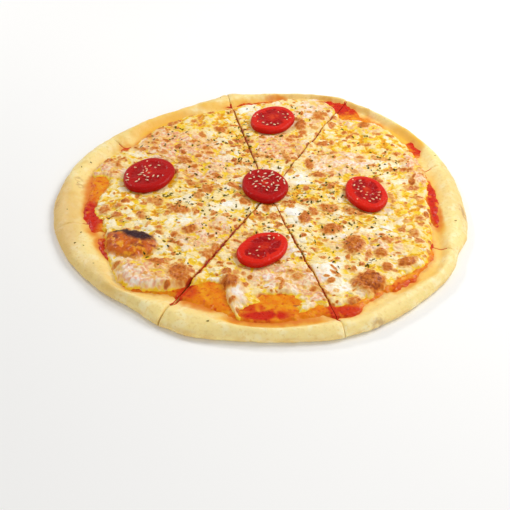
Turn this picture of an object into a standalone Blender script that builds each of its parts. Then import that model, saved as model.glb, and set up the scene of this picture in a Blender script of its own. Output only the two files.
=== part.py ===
"""Margherita pizza, about 320 mm across, cut by a wheel into eight slices that lie together.

Each slice is three layers that show at its cuts: the dough with its raised rim, the tomato
sauce on it, and the melted cheese on top. Five round tomato slices rest on the cheese.
The underside is flat at z = 0, and the origin is under the middle of the pizza.
Units are metres, +Z is up, and the slices are numbered anticlockwise from the right.
"""
import math

import bpy

MM = 0.001

# Heights of the layers, from the underside up.
BASE_TOP = 5.0 * MM          # dough under the sauce
SAUCE_THICKNESS = 1.2 * MM
CHEESE_THICKNESS = 1.7 * MM  # plain melted cheese, before its lumps
RIM_HEIGHT = 9.6 * MM        # highest line of the raised rim, on average
RIM_UNEVENNESS = 0.7 * MM    # how far that line rises and falls on the way round
LAYER_GAP = 0.3 * MM         # clearance between layers that touch
KERF = 0.6 * MM              # width of the wheel's cut

# The straight cuts cross a little off the middle and end on the rim at these angles.
CUT_CROSSING = (3.0 * MM, -2.0 * MM)
CUT_ENDS = (17.0, 63.5, 103.5, 152.0, 197.5, 244.5, 290.0, 335.0)
COLUMNS = 12                 # steps across one slice

# Edges seen from above, as (angle in degrees, distance from the middle in millimetres).
RIM_EDGE = (
    (0, 157), (10, 158), (23, 160), (35, 161), (48, 163), (60, 166), (66, 169), (73, 165),
    (80, 161), (90, 159), (98, 160), (103, 164), (108, 157), (114, 153), (124, 150),
    (141, 152), (152, 156), (162, 160), (175, 162), (190, 164), (200, 164), (212, 162),
    (226, 159), (236, 157), (244, 160), (252, 161), (264, 158), (277, 158), (289, 161),
    (305, 160), (316, 159), (328, 160), (336, 157), (344, 159),
)
SAUCE_EDGE = (
    (0, 137), (8, 139), (18, 141), (27, 147), (33, 150), (41, 151), (50, 155), (58, 157),
    (66, 161), (74, 160), (81, 155), (90, 149), (97, 144), (105, 139), (120, 138),
    (135, 138), (148, 137), (156, 140), (164, 144), (174, 146), (182, 144), (190, 143),
    (198, 140), (205, 138), (212, 140), (219, 143), (228, 150), (236, 147), (243, 141),
    (255, 141), (264, 147), (272, 148), (288, 147), (296, 149), (305, 146), (315, 146),
    (325, 150), (334, 146), (342, 138), (351, 136),
)
CHEESE_EDGE = (
    (0, 129), (8, 134), (18, 139), (30, 142), (38, 146), (46, 148), (52, 144), (60, 136),
    (66, 150), (72, 157), (78, 153), (84, 150), (90, 142), (98, 140), (105, 135),
    (120, 135), (131, 135), (141, 133), (149, 129), (156, 135), (165, 142), (171, 143),
    (178, 127), (184, 130), (191, 133), (198, 131), (205, 131), (212, 137), (219, 141),
    (228, 148), (235, 142), (241, 132), (247, 118), (252, 112), (256, 113), (260, 131),
    (264, 143), (270, 144), (277, 136), (281, 126), (286, 117), (292, 131), (299, 138),
    (308, 137), (316, 137), (325, 142), (333, 139), (341, 135), (350, 131),
)

# The rim's section, from the sauce's edge out over the top and round to the underside,
# as (share of the rim's width, share of the height from the base's top to the rim's top).
RIM_TOP_SECTION = (
    (0.12, 0.22), (0.30, 0.62), (0.48, 0.92), (0.64, 1.00), (0.80, 0.82), (0.93, 0.40),
)
SIDE_HEIGHT = 3.4 * MM       # where the rim is widest
UNDERSIDE_INSET = 3.0 * MM   # how far the flat underside stays inside the rim's widest line

# Lumps of the cheese, as (x, y, rise, spread) in millimetres: the big burnt blister first.
CHEESE_LUMPS = (
    (-97, -66, 4.6, 13), (-74, -106, 2.4, 16), (-84, -116, 1.2, 10), (74, -106, 2.2, 9),
    (48, -95, 1.6, 9), (53, 43, 1.5, 16), (-128, 24, 1.3, 12), (-75, 52, 1.0, 26),
    (10, 60, 0.9, 20), (30, 128, 1.8, 16), (122, 42, 1.4, 12), (104, -84, 1.2, 12),
    (0, -120, 1.0, 18), (-40, -48, 0.8, 14), (66, -64, 1.0, 14), (-60, 100, 0.8, 18),
)
RIPPLE = 0.5 * MM            # small waves over the whole of the cheese
CHEESE_RINGS = 10
CHEESE_EDGE_DROP = 0.9 * MM  # how much thinner the cheese is along its edge

# Tomato slices, as (x, y, long radius, short radius, turn, lean, lean angle) in millimetres
# and degrees: an ellipse of those radii, fuller by the lean towards the lean angle.
TOMATO_SLICES = (
    (-93, 16, 23.4, 19.0, 60, 0.00, 0),
    (6, 106, 22.0, 18.2, 55, 0.03, 240),
    (0, 6, 21.6, 18.2, 105, 0.03, 280),
    (80, -1, 22.2, 16.0, 104, 0.04, 230),
    (0, -74, 21.2, 15.4, 45, 0.06, 150),
)
TOMATO_BOTTOM = 8.8 * MM
TOMATO_THICKNESS = 5.6 * MM
TOMATO_SIDES = 32
SEAT_MARGIN = 9.0 * MM       # the cheese is level this far round each tomato slice
# A tomato slice's rounded side, as (how far inside its outline, share of its thickness).
TOMATO_SECTION = (
    (1.5 * MM, 0.0), (0.3 * MM, 0.22), (0.0, 0.5), (0.3 * MM, 0.78), (1.5 * MM, 1.0),
)

COLOURS = {                  # slot: linear base colour and roughness
    "crust": ((0.72, 0.49, 0.22, 1.0), 0.55),
    "sauce": ((0.52, 0.06, 0.02, 1.0), 0.35),
    "cheese": ((0.83, 0.62, 0.32, 1.0), 0.40),
    "tomato": ((0.50, 0.02, 0.01, 1.0), 0.25),
}


def make_material(slot):
    """A Principled material of one of the pizza's four stuffs."""
    colour, roughness = COLOURS[slot]
    material = bpy.data.materials.new(slot)
    material.use_nodes = True
    shader = material.node_tree.nodes["Principled BSDF"]
    shader.inputs["Base Color"].default_value = colour
    shader.inputs["Roughness"].default_value = roughness
    shader.inputs["Metallic"].default_value = 0.0
    return material


def make_node(name, points, faces, material):
    """One named object from its points and faces, shaded smooth but for its sharp edges."""
    mesh = bpy.data.meshes.new(name)
    mesh.from_pydata(points, [], faces)
    mesh.materials.append(material)
    mesh.shade_smooth()
    mesh.set_sharp_from_angle(angle=math.radians(40))
    node = bpy.data.objects.new(name, mesh)
    bpy.context.scene.collection.objects.link(node)
    return node


def edge_distance(edge, angle):
    """Distance in metres from the middle to an edge at an angle, on a smooth closed curve."""
    angle = angle % 360.0
    count = len(edge)
    after = next((i for i, (a, _) in enumerate(edge) if a > angle), count)
    a0, r0 = edge[after - 1]
    a1, r1 = edge[after % count]
    span = (a1 - a0) % 360.0
    before, beyond = edge[after - 2][1], edge[(after + 1) % count][1]
    t = ((angle - a0) % 360.0) / span
    slope0, slope1 = 0.5 * (r1 - before), 0.5 * (beyond - r0)
    distance = (
        r0 * (2 * t ** 3 - 3 * t ** 2 + 1)
        + slope0 * (t ** 3 - 2 * t ** 2 + t)
        + r1 * (3 * t ** 2 - 2 * t ** 3)
        + slope1 * (t ** 3 - t ** 2)
    )
    return distance * MM


def cut_direction(end_angle):
    """Direction in radians of the cut that ends on the rim at an angle."""
    angle = math.radians(end_angle)
    rim = edge_distance(RIM_EDGE, end_angle)
    dx = rim * math.cos(angle) - CUT_CROSSING[0]
    dy = rim * math.sin(angle) - CUT_CROSSING[1]
    return math.atan2(dy, dx)


def slice_rays(number):
    """The slice's tip, half a kerf inside both of its cuts, and its rays' directions."""
    start = cut_direction(CUT_ENDS[number])
    end = cut_direction(CUT_ENDS[(number + 1) % len(CUT_ENDS)])
    width = (end - start) % (2 * math.pi)
    middle = start + width / 2
    back = KERF / 2 / math.sin(width / 2)
    tip = (CUT_CROSSING[0] + back * math.cos(middle), CUT_CROSSING[1] + back * math.sin(middle))
    directions = [start + width * column / COLUMNS for column in range(COLUMNS + 1)]
    return tip, directions


def meeting_length(tip, direction, edge):
    """Length of a ray from the tip to where it meets an edge."""
    length = 0.1
    for _ in range(12):
        x = tip[0] + length * math.cos(direction)
        y = tip[1] + length * math.sin(direction)
        angle = math.degrees(math.atan2(y, x))
        length += edge_distance(edge, angle) - math.hypot(x, y)
    return length


def along(tip, direction, length):
    """The plan point at a length along a ray."""
    return (tip[0] + length * math.cos(direction), tip[1] + length * math.sin(direction))


def outline_shape(slice_row, angle):
    """Distance in metres from a tomato slice's middle to its outline at an angle in radians."""
    _, _, long_radius, short_radius, turn, lean, lean_angle = slice_row
    turned = angle - math.radians(turn)
    squeeze = math.hypot(math.cos(turned) / long_radius, math.sin(turned) / short_radius)
    return (1 + lean * math.cos(angle - math.radians(lean_angle))) / squeeze * MM


def seat_share(x, y):
    """0 under and close to a tomato slice, where the cheese lies level, up to 1 away from it."""
    share = 1.0
    for row in TOMATO_SLICES:
        dx, dy = x - row[0] * MM, y - row[1] * MM
        clear = math.hypot(dx, dy) - outline_shape(row, math.atan2(dy, dx)) - SEAT_MARGIN
        share = min(share, max(0.0, clear / SEAT_MARGIN))
    return share


def cheese_top(x, y):
    """Height of the cheese's surface at a plan point: plain level, ripples and lumps."""
    level = BASE_TOP + SAUCE_THICKNESS + 2 * LAYER_GAP + CHEESE_THICKNESS
    ripple = RIPPLE * math.sin(x / (7 * MM) + 1.3) * math.sin(y / (6 * MM) + 0.4)
    lumps = 0.0
    for lump_x, lump_y, rise, spread in CHEESE_LUMPS:
        away = math.hypot(x - lump_x * MM, y - lump_y * MM) / (spread * MM)
        lumps += rise * MM * math.exp(-0.5 * away * away)
    return level + (ripple + lumps) * seat_share(x, y)


def wedge(rings, tip_top, tip_bottom, flat_inside=0):
    """Points and faces of a slice's layer.

    rings run from the tip out over the top and down to the last one, on the flat underside.
    The top inside ring number flat_inside is one flat face, and the rings further in are
    left out of it. Both cut sides and the underside are one flat face each.
    """
    rings = rings[flat_inside:]
    across = COLUMNS + 1
    points = [point for ring in rings for point in ring] + [tip_top, tip_bottom]
    top, bottom = len(points) - 2, len(points) - 1
    last = (len(rings) - 1) * across
    if flat_inside:
        faces = [[top] + list(range(across))]
    else:
        faces = [[top, column, column + 1] for column in range(COLUMNS)]
    for ring in range(len(rings) - 1):
        for column in range(COLUMNS):
            inner = ring * across + column
            outer = inner + across
            faces.append([inner, outer, outer + 1])
            faces.append([inner, outer + 1, inner + 1])
    faces.append([bottom] + [last + column for column in reversed(range(across))])
    starts = [ring * across for ring in range(len(rings))]
    ends = [start + COLUMNS for start in starts]
    faces.append([top, bottom] + list(reversed(starts)))
    faces.append([bottom, top] + ends)
    return points, faces


def rim_height(x, y):
    """Height of the rim's highest line at a plan point: hand-stretched dough isn't even."""
    angle = math.atan2(y, x)
    wave = 0.6 * math.sin(3 * angle + 0.8) + 0.4 * math.sin(7 * angle + 2.1)
    return RIM_HEIGHT + RIM_UNEVENNESS * wave


def make_crust(number, material):
    """A slice's dough: a flat base, the rim that rises round it, and the rim's round side."""
    tip, directions = slice_rays(number)
    rings = [[] for _ in range(len(RIM_TOP_SECTION) + 3)]
    for direction in directions:
        sauce = meeting_length(tip, direction, SAUCE_EDGE)
        rim = meeting_length(tip, direction, RIM_EDGE)
        rings[0].append((*along(tip, direction, sauce), BASE_TOP))
        crest = rim_height(*along(tip, direction, rim)) - BASE_TOP
        for ring, (share, rise) in enumerate(RIM_TOP_SECTION, start=1):
            plan = along(tip, direction, sauce + share * (rim - sauce))
            rings[ring].append((*plan, BASE_TOP + rise * crest))
        rings[-2].append((*along(tip, direction, rim), SIDE_HEIGHT))
        rings[-1].append((*along(tip, direction, rim - UNDERSIDE_INSET), 0.0))
    points, faces = wedge([None] + rings, (*tip, BASE_TOP), (*tip, 0.0), flat_inside=1)
    return make_node(f"crust_{number + 1}", points, faces, material)


def make_sauce(number, material):
    """A slice's sauce: a thin flat layer that thins to nothing much at its edge."""
    tip, directions = slice_rays(number)
    bottom = BASE_TOP + LAYER_GAP
    top = bottom + SAUCE_THICKNESS
    rings = [[] for _ in range(4)]
    for direction in directions:
        cheese = meeting_length(tip, direction, CHEESE_EDGE)
        sauce = meeting_length(tip, direction, SAUCE_EDGE) - LAYER_GAP
        rings[0].append((*along(tip, direction, cheese), top))
        rings[1].append((*along(tip, direction, sauce - 1.6 * MM), top - 0.1 * MM))
        rings[2].append((*along(tip, direction, sauce - 0.4 * MM), bottom + 0.5 * MM))
        rings[3].append((*along(tip, direction, sauce - 0.4 * MM), bottom))
    points, faces = wedge([None] + rings, (*tip, top), (*tip, bottom), flat_inside=1)
    return make_node(f"sauce_{number + 1}", points, faces, material)


def make_cheese(number, material):
    """A slice's melted cheese, with its lumps on top and a thin rounded edge."""
    tip, directions = slice_rays(number)
    bottom = BASE_TOP + SAUCE_THICKNESS + 2 * LAYER_GAP
    rings = [[] for _ in range(CHEESE_RINGS + 2)]
    for direction in directions:
        edge = meeting_length(tip, direction, CHEESE_EDGE) - LAYER_GAP
        for ring in range(CHEESE_RINGS):
            plan = along(tip, direction, edge * (ring + 1) / (CHEESE_RINGS + 0.25))
            rings[ring].append((*plan, cheese_top(*plan)))
        plan = along(tip, direction, edge)
        rings[-2].append((*plan, bottom + CHEESE_THICKNESS - CHEESE_EDGE_DROP))
        rings[-1].append((*plan, bottom))
    points, faces = wedge(rings, (*tip, cheese_top(*tip)), (*tip, bottom))
    return make_node(f"cheese_{number + 1}", points, faces, material)


def make_tomato(number, row, material):
    """A round tomato slice with a rounded skin side, lying on the cheese."""
    points, faces = [], []
    for inset, share in TOMATO_SECTION:
        for side in range(TOMATO_SIDES):
            angle = 2 * math.pi * side / TOMATO_SIDES
            radius = outline_shape(row, angle) - inset
            x = row[0] * MM + radius * math.cos(angle)
            y = row[1] * MM + radius * math.sin(angle)
            points.append((x, y, TOMATO_BOTTOM + share * TOMATO_THICKNESS))
    for ring in range(len(TOMATO_SECTION) - 1):
        for side in range(TOMATO_SIDES):
            here = ring * TOMATO_SIDES + side
            beside = ring * TOMATO_SIDES + (side + 1) % TOMATO_SIDES
            faces.append([here, beside, beside + TOMATO_SIDES, here + TOMATO_SIDES])
    top = (len(TOMATO_SECTION) - 1) * TOMATO_SIDES
    faces.append(list(reversed(range(TOMATO_SIDES))))
    faces.append([top + side for side in range(TOMATO_SIDES)])
    return make_node(f"tomato_{number + 1}", points, faces, material)


def centre_on_origin(nodes):
    """Moves every point so that the origin is under the middle of the pizza's box."""
    corners = [vertex.co for node in nodes for vertex in node.data.vertices]
    middle_x = (min(c.x for c in corners) + max(c.x for c in corners)) / 2
    middle_y = (min(c.y for c in corners) + max(c.y for c in corners)) / 2
    for node in nodes:
        for vertex in node.data.vertices:
            vertex.co.x -= middle_x
            vertex.co.y -= middle_y
    print(f"middle of the box was at {middle_x * 1000:.3f}, {middle_y * 1000:.3f} mm")


def build():
    """Clears the scene and makes every node of the pizza."""
    for leftover in list(bpy.data.objects):
        bpy.data.objects.remove(leftover)
    materials = {slot: make_material(slot) for slot in COLOURS}
    nodes = []
    for number in range(len(CUT_ENDS)):
        nodes.append(make_crust(number, materials["crust"]))
        nodes.append(make_sauce(number, materials["sauce"]))
        nodes.append(make_cheese(number, materials["cheese"]))
    for number, row in enumerate(TOMATO_SLICES):
        nodes.append(make_tomato(number, row, materials["tomato"]))
    centre_on_origin(nodes)


build()
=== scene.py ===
# %% [markdown]
# # A margherita pizza, cut into eight slices
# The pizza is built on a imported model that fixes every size: eight wedges of dough, sauce
# and cheese, and five tomato slices. This lesson gives each of them its real surface.
# Food has few straight rules, so most pieces start as a height field: one function says how
# high the surface is at a plan point, and others say how baked, oily or stained it is there.
# The same functions serve every piece, so layers fit each other without any adjusting.

import math

import bpy
import numpy as np
from mathutils import Matrix, Vector


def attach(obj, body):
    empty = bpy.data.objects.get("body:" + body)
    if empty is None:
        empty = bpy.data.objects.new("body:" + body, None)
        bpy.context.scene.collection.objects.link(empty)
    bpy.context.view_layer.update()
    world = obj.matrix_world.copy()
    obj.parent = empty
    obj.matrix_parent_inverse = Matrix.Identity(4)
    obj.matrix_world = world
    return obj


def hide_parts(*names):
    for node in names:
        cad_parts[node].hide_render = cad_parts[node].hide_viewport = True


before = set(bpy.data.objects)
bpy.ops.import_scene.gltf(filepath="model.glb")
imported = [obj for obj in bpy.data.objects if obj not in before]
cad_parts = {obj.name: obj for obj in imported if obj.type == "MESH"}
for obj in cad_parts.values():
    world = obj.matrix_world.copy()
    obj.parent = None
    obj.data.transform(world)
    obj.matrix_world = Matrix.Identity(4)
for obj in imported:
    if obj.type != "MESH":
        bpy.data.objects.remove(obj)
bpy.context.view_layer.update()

# %% [markdown]
# ## Where things are
# Lengths are worked in millimetres, because that is how one thinks of food, and are turned
# to metres only when a mesh is made. The outlines of rim, sauce and cheese are a few points
# each, as an angle and a distance from the middle, joined by a smooth closed curve.
# They are the same outlines as the model's, whose origin is the middle of its box.

# %% Outlines of the rim, the sauce and the cheese
MM = 0.001
RIM_EDGE = (
    (0, 157), (10, 158), (23, 160), (35, 161), (48, 163), (60, 166), (66, 169), (73, 165),
    (80, 161), (90, 159), (98, 160), (103, 164), (108, 157), (114, 153), (124, 150),
    (141, 152), (152, 156), (162, 160), (175, 162), (190, 164), (200, 164), (212, 162),
    (226, 159), (236, 157), (244, 160), (252, 161), (264, 158), (277, 158), (289, 161),
    (305, 160), (316, 159), (328, 160), (336, 157), (344, 159),
)
SAUCE_EDGE = (
    (0, 137), (8, 139), (18, 141), (27, 147), (33, 150), (41, 151), (50, 155), (58, 157),
    (66, 161), (74, 160), (81, 155), (90, 149), (97, 144), (105, 139), (120, 138),
    (135, 138), (148, 137), (156, 140), (164, 144), (174, 146), (182, 144), (190, 143),
    (198, 140), (205, 138), (212, 140), (219, 143), (228, 150), (236, 147), (243, 141),
    (255, 141), (264, 147), (272, 148), (288, 147), (296, 149), (305, 146), (315, 146),
    (325, 150), (334, 146), (342, 138), (351, 136),
)
CHEESE_EDGE = (
    (0, 129), (8, 134), (18, 139), (30, 142), (38, 146), (46, 148), (52, 144), (60, 136),
    (66, 150), (72, 157), (78, 153), (84, 150), (90, 142), (98, 140), (105, 135),
    (120, 135), (131, 135), (141, 133), (149, 129), (156, 135), (165, 142), (171, 143),
    (178, 127), (184, 130), (191, 133), (198, 131), (205, 131), (212, 137), (219, 141),
    (228, 148), (235, 142), (241, 132), (247, 118), (252, 112), (256, 113), (260, 131),
    (264, 143), (270, 145), (277, 140), (281, 137), (286, 133), (292, 137), (299, 139),
    (308, 137), (316, 137), (325, 142), (333, 139), (341, 135), (350, 131),
)
ALL_ROUND = np.arange(0, 360, 0.25)


def smooth_edge(points):
    """An edge's distance at every quarter degree, on a smooth closed curve through its points."""
    angles = np.array([a for a, _ in points], float)
    distances = np.array([d for _, d in points], float)
    after = np.searchsorted(angles, ALL_ROUND, side="right")
    before = after - 1
    count = len(points)
    d0, d1 = distances[before], distances[after % count]
    slope0 = 0.5 * (d1 - distances[before - 1])
    slope1 = 0.5 * (distances[(after + 1) % count] - d0)
    span = (angles[after % count] - angles[before]) % 360
    t = (ALL_ROUND - angles[before]) / span
    return (d0 * (2 * t**3 - 3 * t**2 + 1) + slope0 * (t**3 - 2 * t**2 + t)
            + d1 * (3 * t**2 - 2 * t**3) + slope1 * (t**3 - t**2))


RIM, SAUCE, CHEESE = (smooth_edge(e) for e in (RIM_EDGE, SAUCE_EDGE, CHEESE_EDGE))


def edge_at(edge, x, y):
    """An edge's distance from the middle in the direction of each plan point."""
    angle = np.degrees(np.arctan2(y, x)) % 360
    return np.interp(angle, ALL_ROUND, edge, period=360)


turn = np.radians(ALL_ROUND)
rim_x, rim_y = RIM * np.cos(turn), RIM * np.sin(turn)
MIDDLE = ((rim_x.max() + rim_x.min()) / 2, (rim_y.max() + rim_y.min()) / 2)
print(f"outlines are measured from a point {-MIDDLE[0]:.2f}, {-MIDDLE[1]:.2f} mm off the origin")

# %% [markdown]
# ## Camera
# The view looks down at the pizza from the front at about forty degrees, as a person at the
# table would. The camera could be aimed with a constraint, but a matrix made from its own
# three directions is exact and leaves nothing live in the file. It leans by a degree or so.

# %% Camera
CAMERA_PLACE = Vector((-3.1 - MIDDLE[0], -544.9 - MIDDLE[1], 402.3)) * MM
CAMERA_AIM = Vector((-6.1 - MIDDLE[0], -67.0 - MIDDLE[1], 0.0)) * MM
CAMERA_LEAN = 1.3   # degrees
LENS = 60.0         # mm, on a sensor 36 mm wide

camera_data = bpy.data.cameras.new("camera")
camera_data.lens, camera_data.sensor_width = LENS, 36.0
camera = bpy.data.objects.new("camera", camera_data)
bpy.context.scene.collection.objects.link(camera)
ahead = (CAMERA_AIM - CAMERA_PLACE).normalized()
across = ahead.cross(Vector((0, 0, 1))).normalized()
upward = across.cross(ahead)
lean = math.radians(CAMERA_LEAN)
right = across * math.cos(lean) + upward * math.sin(lean)
upright = upward * math.cos(lean) - across * math.sin(lean)
axes = Matrix((right, upright, -ahead)).transposed().to_4x4()
camera.matrix_world = Matrix.Translation(CAMERA_PLACE) @ axes
bpy.context.scene.camera = camera
bpy.context.scene.view_settings.view_transform = "Standard"
print("camera distance", round((CAMERA_AIM - CAMERA_PLACE).length, 3), "m")

# %% [markdown]
# ## Noise
# Baked and melted surfaces are uneven at many sizes at once. Blender has noise textures for
# shaders, but a mesh needs noise as numbers: two short functions give it. `waves` is soft
# rolling noise, whose lumps are about one size across. `cells` gives the distance to the
# nearest of many scattered points, from which bubbles and curds are made.

# %% Noise as numbers
def hashed(i, j, seed):
    """A number from 0 to 1 for each whole-number grid point, the same on each run."""
    n = (i * 374761393 + j * 668265263 + seed * 974634777) & 0xFFFFFFFF
    n = ((n ^ (n >> 13)) * 1274126177) & 0xFFFFFFFF
    return ((n ^ (n >> 16)) & 0xFFFFFF) / 0xFFFFFF


def waves(x, y, size, seed):
    """Soft noise from about -1 to 1 with lumps of a size in mm."""
    u, v = x / size, y / size
    i, j = np.floor(u).astype(np.int64), np.floor(v).astype(np.int64)
    u, v = u - i, v - j
    su, sv = (t * t * t * (t * (t * 6 - 15) + 10) for t in (u, v))

    def corner(di, dj):
        angle = 2 * math.pi * hashed(i + di, j + dj, seed)
        return np.cos(angle) * (u - di) + np.sin(angle) * (v - dj)

    near = corner(0, 0) * (1 - su) + corner(1, 0) * su
    far = corner(0, 1) * (1 - su) + corner(1, 1) * su
    return 1.5 * (near * (1 - sv) + far * sv)


def cells(x, y, size, seed):
    """Distance to the nearest scattered point, in sizes, and that point's own random number."""
    u, v = x / size, y / size
    i, j = np.floor(u).astype(np.int64), np.floor(v).astype(np.int64)
    nearest = np.full(u.shape, 9.0)
    number = np.zeros(u.shape)
    for di in (-1, 0, 1):
        for dj in (-1, 0, 1):
            a, b = i + di, j + dj
            away = np.hypot(u - a - hashed(a, b, seed), v - b - hashed(a, b, seed + 1))
            closer = away < nearest
            nearest = np.where(closer, away, nearest)
            number = np.where(closer, hashed(a, b, seed + 2), number)
    return nearest, number


def ramp(value, low, high):
    """0 below low, 1 above high and a soft step between; low may be the larger."""
    t = np.clip((value - low) / (high - low), 0, 1)
    return t * t * (3 - 2 * t)


def patch(x, y, row):
    """How much of an oval patch is at each point, 1 inside and soft at its edge.

    The row is x, y, long radius, short radius, turn in degrees, and strength."""
    px, py, long_radius, short_radius, turn, strength = row
    a = math.radians(turn)
    dx, dy = x - px, y - py
    u = (dx * math.cos(a) + dy * math.sin(a)) / long_radius
    v = (dy * math.cos(a) - dx * math.sin(a)) / short_radius
    return strength * ramp(np.hypot(u, v), 1.35, 0.65)


def patches(x, y, rows):
    """The strongest of several patches at each point."""
    return np.max([patch(x, y, row) for row in rows], axis=0)


sample = np.linspace(0, 40, 400)
print("waves range:", waves(sample, sample * 0.7, 3.0, 1).min().round(2),
      "to", waves(sample, sample * 0.7, 3.0, 1).max().round(2))

# %% [markdown]
# ## Slices
# A pizza wheel makes straight cuts that cross near the middle. Each slice is laid out as
# rays that fan out from its tip. Half of each cut's width is taken off both slices beside
# it, by moving the tip: rays that stay parallel to the cuts then keep the gap even.
# Four cuts have opened, and in the others dough and cheese have run together again.

# %% Slices and their rays
CUT_CROSSING = (3.0, -2.0)
CUTS = (  # angle of its end on the rim, half its width in mm, how far it has opened, 0 to 1
    (17.0, 0.04, 0.0), (63.5, 0.35, 1.0), (103.5, 0.25, 0.8), (152.0, 0.04, 0.0),
    (197.5, 0.04, 0.0), (244.5, 0.70, 1.4), (290.0, 0.25, 0.7), (335.0, 0.04, 0.0),
)


def cut_direction(number):
    """Direction in radians of a cut, from the crossing to its end on the rim."""
    end = math.radians(CUTS[number % len(CUTS)][0])
    rim = float(edge_at(RIM, math.cos(end), math.sin(end)))
    return math.atan2(rim * math.sin(end) - CUT_CROSSING[1],
                      rim * math.cos(end) - CUT_CROSSING[0])


def slice_rays(number, columns):
    """A slice's tip and the directions of its rays, from its first cut to its second."""
    first, second = cut_direction(number), cut_direction(number + 1)
    width = (second - first) % (2 * math.pi)
    gap_first = CUTS[number][1]
    gap_second = CUTS[(number + 1) % len(CUTS)][1]
    along_first = (gap_second + gap_first * math.cos(width)) / math.sin(width)
    tip = (CUT_CROSSING[0] + along_first * math.cos(first) - gap_first * math.sin(first),
           CUT_CROSSING[1] + along_first * math.sin(first) + gap_first * math.cos(first))
    return tip, first + width * np.linspace(0, 1, columns + 1)


def ray_length(tip, directions, edge):
    """How far along each ray it meets an edge."""
    length = np.full(len(directions), 100.0)
    for _ in range(15):
        x = tip[0] + length * np.cos(directions)
        y = tip[1] + length * np.sin(directions)
        length += edge_at(edge, x, y) - np.hypot(x, y)
    return length


def plan_points(tip, directions, lengths):
    """Plan points at lengths along the rays: one row for each ring, one column for each ray."""
    return tip[0] + lengths * np.cos(directions), tip[1] + lengths * np.sin(directions)


def cut_distance(number, x, y):
    """Distance from the line of a cut, on its own side of the crossing."""
    a = cut_direction(number)
    dx, dy = x - CUT_CROSSING[0], y - CUT_CROSSING[1]
    ahead = dx * math.cos(a) + dy * math.sin(a)
    aside = np.abs(dy * math.cos(a) - dx * math.sin(a))
    return np.where(ahead > 0, aside, np.hypot(dx, dy))


for number in range(len(CUTS)):
    print("slice", number + 1, "tip at", [round(v, 2) for v in slice_rays(number, 4)[0]])

# %% [markdown]
# ## From rings to a closed mesh
# Every slice's layer is a stack of rings that starts at its tip, runs out over the top, turns
# down the outer edge and ends on the flat underside. Grid faces join the rings, and one flat
# face each closes the underside and the two cut sides, so that the piece is a closed body.
# Fields such as "how browned" are stored on the points as attributes for the materials.

# %% Closed meshes from rings
def finish_mesh(name, points, faces, fields, material):
    """Makes a piece from points in mm and its faces, with its fields as attributes."""
    mesh = bpy.data.meshes.new(name)
    place = (np.asarray(points) - (MIDDLE[0], MIDDLE[1], 0)) * MM
    mesh.from_pydata(place.tolist(), [], faces)
    for field, values in fields.items():
        attribute = mesh.attributes.new(field, "FLOAT", "POINT")
        attribute.data.foreach_set("value", np.ascontiguousarray(values, np.float32))
    mesh.materials.append(material)
    mesh.shade_smooth()
    mesh.set_sharp_from_angle(angle=math.radians(70))
    piece = bpy.data.objects.new(name, mesh)
    bpy.context.scene.collection.objects.link(piece)
    return piece


def slice_mesh(name, tip, x, y, z, fields, tip_heights, material):
    """Closes a slice's rings, given as arrays of plan points and heights, into one piece."""
    rings, across = x.shape
    points = np.stack([x, y, z], -1).reshape(-1, 3).tolist()
    points += [(*tip, tip_heights[0]), (*tip, tip_heights[1])]
    top, bottom = rings * across, rings * across + 1
    here = (np.arange(rings - 1)[:, None] * across + np.arange(across - 1)).ravel()
    faces = np.stack([here, here + across, here + across + 1, here + 1], 1).tolist()
    faces += [[top, c, c + 1] for c in range(across - 1)]
    faces.append([bottom] + [top - 1 - c for c in range(across)])
    starts = list(range(0, top, across))
    ends = [s + across - 1 for s in starts]
    faces.append([top, bottom] + starts[::-1])
    faces.append([bottom, top] + ends)
    ended = {f: np.append(v.ravel(), [v[0, 0], v[-1, 0]]) for f, v in fields.items()}
    return finish_mesh(name, points, faces, ended, material)


# %% [markdown]
# ## Tomato slices: their outlines
# The cheese has to know where the tomato slices lie, so their outlines come before it.
# Each is an oval that is a little fuller on one side.

# %% Tomato outlines
TOMATO_SLICES = (  # x, y, long radius, short radius, turn, lean, lean angle
    (-93, 16, 23.4, 19.0, 60, 0.00, 0),
    (6, 106, 22.0, 18.2, 55, 0.03, 240),
    (0, 6, 21.6, 18.2, 105, 0.03, 280),
    (80, -1, 22.2, 16.0, 104, 0.04, 230),
    (0, -74, 21.2, 15.4, 45, 0.06, 150),
)


def tomato_outline(row, angle):
    """Distance in mm from a tomato slice's middle to its outline at angles in radians."""
    _, _, long_radius, short_radius, turn, lean, lean_angle = row
    turned = angle - math.radians(turn)
    squeeze = np.hypot(np.cos(turned) / long_radius, np.sin(turned) / short_radius)
    return (1 + lean * np.cos(angle - math.radians(lean_angle))) / squeeze


def tomato_distance(x, y):
    """Distance outside the nearest tomato slice, negative under it."""
    nearest = np.full(x.shape, 1e3)
    for row in TOMATO_SLICES:
        dx, dy = x - row[0], y - row[1]
        away = np.hypot(dx, dy) - tomato_outline(row, np.arctan2(dy, dx))
        nearest = np.minimum(nearest, away)
    return nearest


# %% [markdown]
# ## Dough
# The dough is flat under the sauce and rises to a soft rim with a round side. Hand-stretched
# dough has a rim that is never quite the same twice, so its crest and surface carry waves of
# several sizes. The section is a soft step up and a quarter of an ellipse down to the side.

# %% Dough surface
BASE_TOP = 5.0      # heights from the underside, mm
RIM_HEIGHT = 9.6
SIDE_HEIGHT = 3.4
SIDE_INSET = 3.0
CREST_SHARE = 0.46  # where the crest lies across the rim


def rim_share(x, y):
    """0 at the sauce's edge and 1 at the rim's outermost line."""
    sauce, rim = edge_at(SAUCE, x, y), edge_at(RIM, x, y)
    return (np.hypot(x, y) - sauce) / (rim - sauce)


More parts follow.
